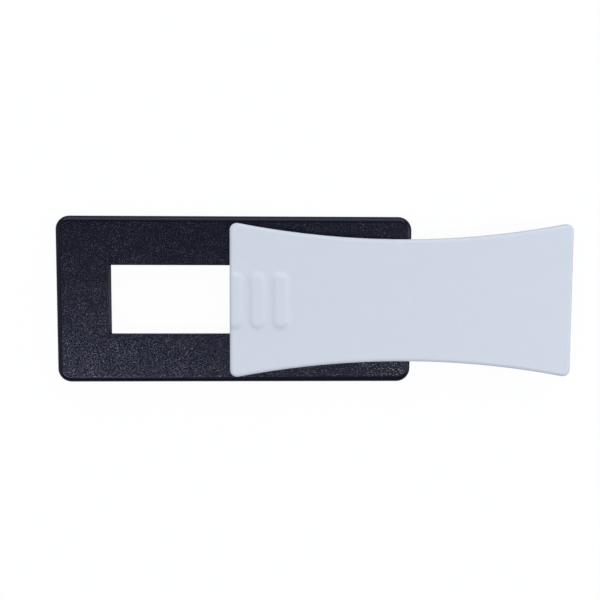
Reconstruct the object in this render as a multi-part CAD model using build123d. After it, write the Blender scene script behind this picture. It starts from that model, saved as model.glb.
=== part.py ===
from build123d import *
from math import atan2, degrees
import os

# A sliding privacy cover for the camera of a laptop or screen: a frame with a window is stuck over
# the camera, and a slide held in the window is pushed across it.
# X runs along the slide's travel, Y across it and Z out of the front face. The origin is the middle
# of the frame, on the back of its adhesive. Millimetres.

# Frame
base_length = 38.0
base_width = 17.84
base_thickness = 1.6
base_corner_radius = 1.45
base_edge_radius = 0.67
base_back_chamfer = 0.12
window_length = 26.8
window_width = 7.39
window_rim_radius = 0.12

# Slide: the plate and its outline, set in from the frame's edges when it is closed
slider_end_inset = 0.67
slider_side_inset = 0.57
slider_waist_depth = 1.82
slider_thickness = 1.0
slider_corner_radius = 0.75
slider_edge_radius = 0.4
slider_travel = 17.85

# Finger ribs on the slide, counted from the end that meets the middle of the frame when open
rib_count = 3
rib_pitch = 2.4
rib_end_inset = 0.56
rib_foot_width = 1.9
rib_foot_length = 6.15
rib_top_width = 1.0
rib_height = 0.26
rib_blend_radius = 0.8

# Snap rails under the slide, which hook behind the window's long edges
rail_thickness = 0.9
rail_root_radius = 0.25
hook_reach = 0.35
hook_thickness = 0.5
hook_lead_in = 0.22

# Adhesive ring on the frame's back
pad_thickness = 0.3
pad_edge_inset = 0.8
pad_corner_radius = 0.9

# Clearances
slide_gap = 0.08        # between the faces that slide on each other
rail_side_gap = 0.1     # from a rail to the window's edge
hook_side_gap = 0.25    # from a hook to the side of its track
hook_back_gap = 0.22    # from a hook to the plane of the frame's back
stop_gap = 0.05         # left at the window's end when the slide is against its stop
pad_track_gap = 0.5     # from the adhesive to the track

# Sizes that follow from those above
slider_length = base_length - 2 * slider_end_inset
slider_end_width = base_width - 2 * slider_side_inset
track_depth = slide_gap + hook_thickness + hook_back_gap
lip_thickness = base_thickness - track_depth
rail_outer_face = window_width / 2 - rail_side_gap
rail_length = window_length - slider_travel - 2 * stop_gap
track_width = 2 * (rail_outer_face + hook_reach + hook_side_gap)
base_front = pad_thickness + base_thickness


def make_adhesive_pad():
    """A flat ring of tape, cut clear of the track so that the hooks can pass."""
    ring = RectangleRounded(
        base_length - 2 * pad_edge_inset, base_width - 2 * pad_edge_inset, pad_corner_radius
    )
    ring -= Rectangle(window_length + 2 * pad_track_gap, track_width + 2 * pad_track_gap)
    return extrude(ring, pad_thickness)


def make_base_frame():
    """The frame: a rounded plate with the window and, behind it, the wider track for the hooks."""
    frame = extrude(RectangleRounded(base_length, base_width, base_corner_radius), base_thickness)
    frame = fillet(frame.faces().sort_by(Axis.Z)[-1].edges(), base_edge_radius)
    frame = chamfer(frame.faces().sort_by(Axis.Z)[0].edges(), base_back_chamfer)
    frame -= extrude(Rectangle(window_length, window_width), base_thickness)
    window_rim = frame.faces().sort_by(Axis.Z)[-1].inner_wires()[0].edges()
    frame = fillet(window_rim, window_rim_radius)
    frame -= extrude(Rectangle(window_length, track_width), track_depth)
    return Pos(0, 0, pad_thickness) * frame


def make_slider_outline():
    """The hourglass: straight ends joined by two long hollow arcs, with small rounded corners."""
    end_x = slider_length / 2
    end_y = slider_end_width / 2
    waist_y = end_y - slider_waist_depth
    far_side = ThreePointArc((-end_x, end_y), (0, waist_y), (end_x, end_y))
    near_side = ThreePointArc((end_x, -end_y), (0, -waist_y), (-end_x, -end_y))
    right_end = Line(far_side @ 1, near_side @ 0)
    left_end = Line(near_side @ 1, far_side @ 0)
    outline = make_face([far_side, right_end, near_side, left_end])
    return fillet(outline.vertices(), slider_corner_radius)


def make_slider_plate():
    """The plate with its finger ribs, blended into the face and cut off by the plate's end."""
    rib_slope = (rib_foot_width - rib_top_width) / 2
    rib_taper = degrees(atan2(rib_slope, rib_height))
    rib_foot = SlotOverall(rib_foot_length, rib_foot_width, rotation=90)
    rib = extrude(rib_foot, rib_height, taper=rib_taper)
    first_rib_x = -slider_length / 2 + rib_end_inset
    rib_places = [Pos(first_rib_x + index * rib_pitch, 0, slider_thickness) for index in range(rib_count)]

    # The ribs are blended on an oversize blank, so that the one at the end is whole until it is cut.
    plate = extrude(Rectangle(slider_length + 2 * rib_foot_width, slider_end_width), slider_thickness)
    face_outline = plate.faces().sort_by(Axis.Z)[-1].outer_wire().edges()
    plate += [place * rib for place in rib_places]
    rib_feet = plate.faces().filter_by(Plane.XY).group_by(Axis.Z)[1].edges() - face_outline
    rib_tops = plate.faces().filter_by(Plane.XY).group_by(Axis.Z)[-1].edges()
    plate = fillet(rib_feet + rib_tops, rib_blend_radius)
    plate &= extrude(make_slider_outline(), slider_thickness + rib_height)

    walls = plate.faces().filter_by(lambda face: abs(face.normal_at().Z) < 0.001)
    rim = walls.edges().filter_by(lambda edge: edge.bounding_box().min.Z > slider_thickness / 2)
    return fillet(rim, slider_edge_radius)


def make_snap_rail():
    """One rail on the +Y side: a leg through the window, with a hook that goes behind its edge."""
    inner_face = rail_outer_face - rail_thickness
    hook_tip = rail_outer_face + hook_reach
    hook_top = -(slide_gap + lip_thickness + slide_gap)
    hook_bottom = hook_top - hook_thickness
    section = Plane.YZ * Polygon(
        (inner_face, 0),
        (inner_face, hook_bottom),
        (hook_tip - hook_lead_in, hook_bottom),
        (hook_tip, hook_bottom + hook_lead_in),
        (hook_tip, hook_top),
        (rail_outer_face, hook_top),
        (rail_outer_face, 0),
        align=None,
    )
    return extrude(section, rail_length)


def make_slider():
    """The whole slide, drawn closed over the frame and then pushed open."""
    rail = Pos(-window_length / 2 + stop_gap, 0, 0) * make_snap_rail()
    slider = make_slider_plate() + rail + mirror(rail, Plane.XZ)
    inner_face = rail_outer_face - rail_thickness
    roots = slider.edges().filter_by(Axis.X).filter_by(
        lambda edge: abs(edge.center().Z) < 0.001 and abs(abs(edge.center().Y) - inner_face) < 0.001
    )
    slider = fillet(roots, rail_root_radius)
    return Pos(slider_travel, 0, base_front + slide_gap) * slider


os.makedirs("parts", exist_ok=True)
export_step(make_adhesive_pad(), "parts/adhesive_pad.step")
export_step(make_base_frame(), "parts/base_frame.step")
export_step(make_slider(), "parts/slider.step")
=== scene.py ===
from math import pi, radians

import bmesh
import bpy
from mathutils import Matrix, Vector


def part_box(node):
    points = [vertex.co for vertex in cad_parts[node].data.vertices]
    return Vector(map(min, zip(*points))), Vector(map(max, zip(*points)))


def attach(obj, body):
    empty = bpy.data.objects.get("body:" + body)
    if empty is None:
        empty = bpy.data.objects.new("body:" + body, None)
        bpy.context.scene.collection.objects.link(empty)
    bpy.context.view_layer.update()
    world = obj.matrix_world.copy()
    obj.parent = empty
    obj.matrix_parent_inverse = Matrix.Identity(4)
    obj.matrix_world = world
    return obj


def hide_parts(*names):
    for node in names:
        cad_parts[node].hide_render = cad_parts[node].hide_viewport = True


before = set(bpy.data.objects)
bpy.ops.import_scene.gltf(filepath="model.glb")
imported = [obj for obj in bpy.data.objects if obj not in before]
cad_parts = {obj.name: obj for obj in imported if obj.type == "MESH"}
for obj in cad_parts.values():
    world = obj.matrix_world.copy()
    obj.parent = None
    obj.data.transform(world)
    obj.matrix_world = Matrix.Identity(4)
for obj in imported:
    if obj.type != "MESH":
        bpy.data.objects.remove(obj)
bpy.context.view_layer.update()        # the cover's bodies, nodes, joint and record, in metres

# Adhesive ring
# A ring of double-sided foam tape, die-cut clear of the slide's track. Its core is white closed-cell
# foam, which springs back a little from the cut, and each face has a film of clear acrylic glue.
# The frame is pressed onto one face, and the other goes on the bezel round the camera.
mm = 0.001
glue_film = 0.05 * mm
core_setback = 0.04 * mm
tape_corner = 0.9 * mm
corner_steps = 12
cut_softness = 0.012 * mm
cut_steps = 2
merge_distance = 0.001 * mm
smooth_angle = radians(40)
tape_low, tape_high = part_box("adhesive_pad")
tape_size = tape_high - tape_low
tape_points = [point.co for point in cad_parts["adhesive_pad"].data.vertices]
opening_corner = min(tape_points, key=lambda place: place.xy.length)
opening_size = (2 * abs(opening_corner.x), 2 * abs(opening_corner.y), 1.0)

bpy.ops.object.select_all(action="DESELECT")
bpy.ops.mesh.primitive_plane_add(size=1.0)
tape = bpy.context.object
tape.name = "foam_tape_ring"
bpy.ops.object.mode_set(mode="EDIT")
bpy.ops.transform.resize(value=(tape_size.x, tape_size.y, 1.0))
bpy.ops.mesh.bevel(affect="VERTICES", offset=tape_corner, segments=corner_steps)
bpy.ops.mesh.delete(type="ONLY_FACE")
bpy.ops.mesh.primitive_plane_add(size=1.0)
bpy.ops.transform.resize(value=opening_size)
bpy.ops.mesh.delete(type="ONLY_FACE")
bpy.ops.mesh.select_all(action="SELECT")
bpy.ops.mesh.bridge_edge_loops()
bpy.ops.mesh.select_all(action="SELECT")
bpy.ops.mesh.extrude_region_move(TRANSFORM_OT_translate={"value": (0, 0, tape_size.z)})
for cut_height in (glue_film, tape_size.z - glue_film):
    bpy.ops.mesh.select_all(action="SELECT")
    bpy.ops.mesh.bisect(plane_co=(0, 0, cut_height), plane_no=(0, 0, 1))
bpy.ops.mesh.select_all(action="SELECT")
bpy.ops.mesh.normals_make_consistent()

# The band of wall between the two films is pushed in, to the foam's own cut face.
bpy.ops.mesh.select_mode(type="FACE")
bpy.ops.mesh.select_all(action="DESELECT")
tape_mesh = bmesh.from_edit_mesh(tape.data)
for face in tape_mesh.faces:
    height = face.calc_center_median().z
    is_wall = abs(face.normal.z) < 0.5
    face.select = is_wall and glue_film < height < tape_size.z - glue_film
bmesh.update_edit_mesh(tape.data)
bpy.ops.mesh.extrude_region_shrink_fatten(TRANSFORM_OT_shrink_fatten={"value": -core_setback})
bpy.ops.object.mode_set(mode="OBJECT")

soft_edge = tape.modifiers.new("soft edge", "BEVEL")
soft_edge.width = cut_softness
soft_edge.segments = cut_steps
bpy.ops.object.modifier_apply(modifier=soft_edge.name)

# At the opening's corners the bevel leaves points that lie on one another, and these become one.
bpy.ops.object.mode_set(mode="EDIT")
bpy.ops.mesh.select_all(action="SELECT")
bpy.ops.mesh.remove_doubles(threshold=merge_distance)
bpy.ops.object.mode_set(mode="OBJECT")
bpy.ops.object.shade_smooth_by_angle(angle=smooth_angle)


def add(tree, kind, inputs=(), **settings):
    """Adds a shader node. Each input is a plain value or another node's output, which is linked."""
    new = tree.nodes.new(kind)
    for name, value in settings.items():
        setattr(new, name, value)
    for name, value in dict(inputs).items():
        if isinstance(value, bpy.types.NodeSocket):
            tree.links.new(value, new.inputs[name])
        else:
            new.inputs[name].default_value = value
    return new


def maths(tree, operation, *values, **settings):
    """The result of a new Math node on these values."""
    inputs = dict(enumerate(values))
    return add(tree, "ShaderNodeMath", inputs, operation=operation, **settings).outputs[0]


def remap(tree, value, old, new):
    """The result of a new Map Range node, which takes the range old to the range new."""
    return add(tree, "ShaderNodeMapRange", {
        "Value": value, "From Min": old[0], "From Max": old[1], "To Min": new[0], "To Max": new[1],
    }).outputs[0]


def mix(tree, share, first, second, **settings):
    """The result of a new Mix node, which puts this share of second over first."""
    return add(tree, "ShaderNodeMix", {
        "Factor": share, "A": first, "B": second,
    }, **settings).outputs["Result"]


def new_material(name):
    """A new material, with its node tree and its Principled BSDF."""
    material = bpy.data.materials.new(name)
    material.use_nodes = True
    return material, material.node_tree, material.node_tree.nodes["Principled BSDF"]


# Close-packed round grains, each with its own place and brightness, and a slow drift over many of
# them. On the mouldings they are what the mould's surface left, and in the foam they are its cells.
full_range = (0.0, 1.0)
crest_rarity = 6.0
crest_round = (0.55, 0.25)
drift_per_metre = 600.0
drift_detail = 3.0
grain = bpy.data.node_groups.new("grain", "ShaderNodeTree")
grain.interface.new_socket("Grain Size", in_out="INPUT", socket_type="NodeSocketFloat")
for output in ("Height", "Shade", "Crest", "Drift"):
    grain.interface.new_socket(output, in_out="OUTPUT", socket_type="NodeSocketFloat")
size_in = grain.nodes.new("NodeGroupInput").outputs["Grain Size"]
place = add(grain, "ShaderNodeTexCoord").outputs["Object"]
per_metre = maths(grain, "DIVIDE", 1.0, size_in)
domes = add(grain, "ShaderNodeTexVoronoi", {"Vector": place, "Scale": per_metre}, feature="F1")
from_top = domes.outputs["Distance"]
dome_height = maths(grain, "SUBTRACT", 1.0, maths(grain, "MULTIPLY", from_top, from_top))
own_shade = add(grain, "ShaderNodeSeparateColor", {0: domes.outputs["Color"]}).outputs["Red"]
few_bright = maths(grain, "POWER", own_shade, crest_rarity)
round_top = remap(grain, from_top, crest_round, full_range)
drift = add(grain, "ShaderNodeTexNoise", {
    "Vector": place, "Scale": drift_per_metre, "Detail": drift_detail,
}).outputs["Fac"]
add(grain, "NodeGroupOutput", {
    "Height": dome_height,
    "Shade": own_shade,
    "Crest": maths(grain, "MULTIPLY", few_bright, round_top),
    "Drift": drift,
})

foam_white = (0.72, 0.71, 0.66, 1.0)
glue_amber = (0.60, 0.57, 0.47, 1.0)
foam_roughness = 0.85
glue_roughness = 0.28
cell_size = 0.06 * mm
cell_relief = 0.012 * mm
# Painted shade: the range the foam's colour takes, from dark low between cells to light on their tops.
painted_cell_shading = (0.75, 1.05)
dome_heights = (0.5, 1.0)
tape_look, tree, skin = new_material("foam tape")
cells = add(tree, "ShaderNodeGroup", {"Grain Size": cell_size}, node_tree=grain)
place = add(tree, "ShaderNodeTexCoord").outputs["Object"]
height = add(tree, "ShaderNodeSeparateXYZ", {0: place}).outputs["Z"]
off_middle = maths(tree, "ABSOLUTE", maths(tree, "SUBTRACT", height, tape_size.z / 2))
in_film = maths(tree, "GREATER_THAN", off_middle, tape_size.z / 2 - glue_film)
# Painted shade: the foam's colour darkens low between the cells and lightens on each cell's top,
# following the relief's heights.
painted_cell_shade = remap(tree, cells.outputs["Height"], dome_heights, painted_cell_shading)
foam = mix(tree, 1.0, foam_white, painted_cell_shade, data_type="RGBA", blend_type="MULTIPLY")
film = mix(tree, cells.outputs["Drift"], glue_amber, foam_white, data_type="RGBA")
colour = mix(tree, in_film, foam, film, data_type="RGBA")
roughness = remap(tree, in_film, full_range, (foam_roughness, glue_roughness))
relief = add(tree, "ShaderNodeBump", {"Height": cells.outputs["Height"], "Distance": cell_relief})
tree.links.new(colour, skin.inputs["Base Color"])
tree.links.new(roughness, skin.inputs["Roughness"])
tree.links.new(relief.outputs[0], skin.inputs["Normal"])
tape.data.materials.append(tape_look)
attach(tape, "base")
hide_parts("adhesive_pad")

# Frame
# One moulding in black ABS with a cold cast, held on the screen by the tape. The mould was spark-eroded
# on the front face, which leaves a fine grain, some of it dull and some shiny. A few crests have a real
# gloss coat and a painted glint, a pale grey put into their colour.
# Rims, walls and back are polished.
grain_size = 0.085 * mm
grain_depth = 0.0128 * mm
grain_fade = 0.004 * mm
grain_full = 0.1 * grain_fade
grain_roughness = (0.48, 0.07)
polish = 0.26
black = (0.0025, 0.0026, 0.0056, 1.0)
cold_gloss = (0.570, 0.600, 1.0, 1.0)
gloss_level = 0.48
# Painted glint: the pale grey that the crests' colour is mixed towards.
painted_glint_grey = (0.060, 0.065, 0.100, 1.0)
crest_ior = 4.0
crest_roughness = 0.25
crest_drift = (0.35, 0.65)
crest_strength = (0.6, 1.9)
frame_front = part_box("base_frame")[1].z
frame_look, tree, skin = new_material("black grained ABS")
skin.inputs["Specular IOR Level"].default_value = gloss_level
skin.inputs["Specular Tint"].default_value = cold_gloss
skin.inputs["Coat IOR"].default_value = crest_ior
skin.inputs["Coat Roughness"].default_value = crest_roughness
texture = add(tree, "ShaderNodeGroup", {"Grain Size": grain_size}, node_tree=grain)
place = add(tree, "ShaderNodeTexCoord").outputs["Object"]
height = add(tree, "ShaderNodeSeparateXYZ", {0: place}).outputs["Z"]
on_face = remap(tree, height, (frame_front - grain_fade, frame_front - grain_full), full_range)
clusters = remap(tree, texture.outputs["Drift"], crest_drift, crest_strength)
crest = maths(tree, "MULTIPLY", texture.outputs["Crest"], clusters)
face_crest = maths(tree, "MULTIPLY", crest, on_face, use_clamp=True)
face_grain = maths(tree, "MULTIPLY", texture.outputs["Height"], on_face)
face_roughness = remap(tree, texture.outputs["Shade"], full_range, grain_roughness)
# Painted glint: on the crests the black is mixed towards a pale grey that stands in for sparkle; the
# coat weight below is their real gloss.
colour = mix(tree, face_crest, black, painted_glint_grey, data_type="RGBA")
roughness = mix(tree, on_face, polish, face_roughness)
relief = add(tree, "ShaderNodeBump", {"Height": face_grain, "Distance": grain_depth})
tree.links.new(colour, skin.inputs["Base Color"])
tree.links.new(roughness, skin.inputs["Roughness"])
tree.links.new(face_crest, skin.inputs["Coat Weight"])
tree.links.new(relief.outputs[0], skin.inputs["Normal"])
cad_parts["base_frame"].material_slots[0].material = frame_look

# Slide
# One moulding in white ABS with a cold tint: the plate, its finger ribs and the snap rails that hold
# it in the frame's window. The mould was blasted to a fine satin, so the face is even and soft.
satin_size = 0.11 * mm
satin_depth = 0.007 * mm
satin_roughness = (0.55, 0.42)
white_shadow = (0.606, 0.658, 0.760, 1.0)
white_light = (0.626, 0.676, 0.775, 1.0)
slide_look, tree, skin = new_material("white satin ABS")
texture = add(tree, "ShaderNodeGroup", {"Grain Size": satin_size}, node_tree=grain)
colour = mix(tree, texture.outputs["Drift"], white_shadow, white_light, data_type="RGBA")
roughness = remap(tree, texture.outputs["Height"], dome_heights, satin_roughness)
relief = add(tree, "ShaderNodeBump", {"Height": texture.outputs["Height"], "Distance": satin_depth})
tree.links.new(colour, skin.inputs["Base Color"])
tree.links.new(roughness, skin.inputs["Roughness"])
tree.links.new(relief.outputs[0], skin.inputs["Normal"])
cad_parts["slider"].material_slots[0].material = slide_look

# Floor
# A wide sheet of matt paper. To the camera it is an even white that keeps a faint shadow of the
# cover, and as a surface it is a cold grey, so that it throws little light up onto the walls.
floor_width = 4.0
floor_gap = 0.02 * mm
paper_grey = (0.29, 0.31, 0.37, 1.0)
paper_roughness = 0.9
paper_glow = 0.87
glow_strength = 1.1
white = (1.0, 1.0, 1.0, 1.0)
bpy.ops.object.select_all(action="DESELECT")
bpy.ops.mesh.primitive_plane_add(size=floor_width, location=(0, 0, -floor_gap))
floor = bpy.context.object
floor.name = "floor"
paper, tree, skin = new_material("white paper")
skin.inputs["Base Color"].default_value = paper_grey
skin.inputs["Roughness"].default_value = paper_roughness
seen = add(tree, "ShaderNodeLightPath").outputs["Is Camera Ray"]
share = maths(tree, "MULTIPLY", seen, paper_glow)
glow = add(tree, "ShaderNodeEmission", {"Color": white, "Strength": glow_strength})
surface = add(tree, "ShaderNodeMixShader", {0: share, 1: skin.outputs[0], 2: glow.outputs[0]})
tree.links.new(surface.outputs[0], tree.nodes["Material Output"].inputs["Surface"])
floor.data.materials.append(paper)

# Studio
# A pale room fills the shadows. Two bright strips hang high in front of the cover and lighten the near
# side of the frame. Softboxes stand round the cover: those behind it and at its right light its rims.
fill = 0.367
room_in_gloss = 0.04
world = bpy.data.worlds.new("pale room")
bpy.context.scene.world = world
world.use_nodes = True
tree = world.node_tree
path = add(tree, "ShaderNodeLightPath")
in_gloss = maths(tree, "MULTIPLY", path.outputs["Is Glossy Ray"], room_in_gloss)
as_fill = maths(tree, "MULTIPLY_ADD", path.outputs["Is Diffuse Ray"], fill, in_gloss)
strength = maths(tree, "ADD", path.outputs["Is Camera Ray"], as_fill)
room = tree.nodes["Background"]
room.inputs["Color"].default_value = white
tree.links.new(strength, room.inputs["Strength"])


def softbox(name, place, aim, width, length, brightness):
    """A rectangular lamp that shines along aim, sized in metres. A brightness of 1 looks white."""
    lamp = bpy.data.lights.new(name, "AREA")
    lamp.shape = "RECTANGLE"
    lamp.size = width
    lamp.size_y = length
    lamp.energy = brightness * pi * width * length
    stand = bpy.data.objects.new(name, lamp)
    stand.location = place
    stand.rotation_euler = (-Vector(aim)).to_track_quat("Z", "Y").to_euler()
    bpy.context.scene.collection.objects.link(stand)


softbox("left strip", (-0.20, -0.215, 0.5), (0, 0, -1), 0.30, 0.08, 9.65)
softbox("right strip", (0.20, -0.13, 0.5), (0, 0, -1), 0.20, 0.09, 4.95)
softbox("back softbox", (0.0, 0.356, 0.182), (0, -0.356, -0.182), 0.625, 0.373, 1.20)
softbox("low back softbox", (0.0, 0.386, 0.104), (0, -0.386, -0.104), 0.625, 0.141, 0.65)
softbox("front softbox", (0.0, -0.306, 0.257), (0, 0.306, -0.257), 0.625, 0.112, 0.40)
softbox("left softbox", (-0.343, 0.0, 0.206), (0.343, 0, -0.206), 0.443, 0.373, 0.44)
softbox("right softbox", (0.171, 0.0, 0.103), (-0.171, 0, -0.103), 0.222, 0.187, 0.76)
softbox("low right softbox", (0.386, 0.0, 0.104), (-0.386, 0, -0.104), 0.141, 0.373, 1.32)

# Camera
# A small camera a hand's breadth over the face, a little to the right of the frame's middle and
# towards its far side. It looks almost straight down.
camera_place = (4.336 * mm, 6.747 * mm, 87.400 * mm)
camera_turn = (radians(-4.513), radians(-1.776), radians(0.073))
sensor_width = 36.0
focal_length = 48.0
nearest_view = 1 * mm
lens = bpy.data.cameras.new("camera")
lens.sensor_width = sensor_width
lens.lens = focal_length
lens.clip_start = nearest_view
camera = bpy.data.objects.new("camera", lens)
bpy.context.scene.collection.objects.link(camera)
camera.location = camera_place
camera.rotation_mode = "ZYX"
camera.rotation_euler = camera_turn
bpy.context.scene.camera = camera
bpy.context.scene.view_settings.view_transform = "Standard"
